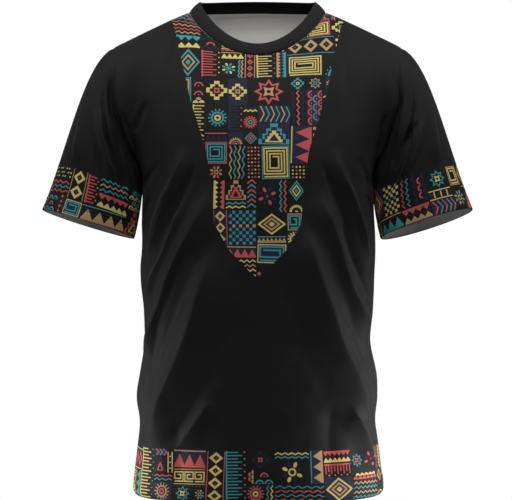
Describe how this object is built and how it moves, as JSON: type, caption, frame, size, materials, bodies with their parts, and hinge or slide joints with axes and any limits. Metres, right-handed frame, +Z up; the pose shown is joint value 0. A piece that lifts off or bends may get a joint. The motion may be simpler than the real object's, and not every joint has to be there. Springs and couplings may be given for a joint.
{
  "type": "t-shirt",
  "caption": "Crew-neck short-sleeved t-shirt, hollow and filled out as if worn, with a ribbed neck band and turned-up hem and cuffs.",
  "frame": {"origin": "middle of the neck, level with the high points of the shoulders, where the shirt hangs on its wearer", "axes": "+Z up, -Y to the shirt's front, +X to the right of someone who looks at the front"},
  "size_m": [0.6422, 0.2472, 0.7433],
  "materials": {
    "front_jersey": "black printed polyester jersey, soft low sheen, pale unprinted inner face",
    "back_jersey": "black printed polyester jersey, soft low sheen, pale unprinted inner face",
    "sleeve_jersey": "black printed polyester jersey with a patterned band, pale unprinted inner face",
    "rib_knit": "black fine rib knit, matt"
  },
  "bodies": {
    "root": {"front_panel": "front_jersey", "back_panel": "back_jersey", "sleeve_left": "sleeve_jersey", "sleeve_right": "sleeve_jersey", "neck_rib": "rib_knit"}
  },
  "joints": []
}
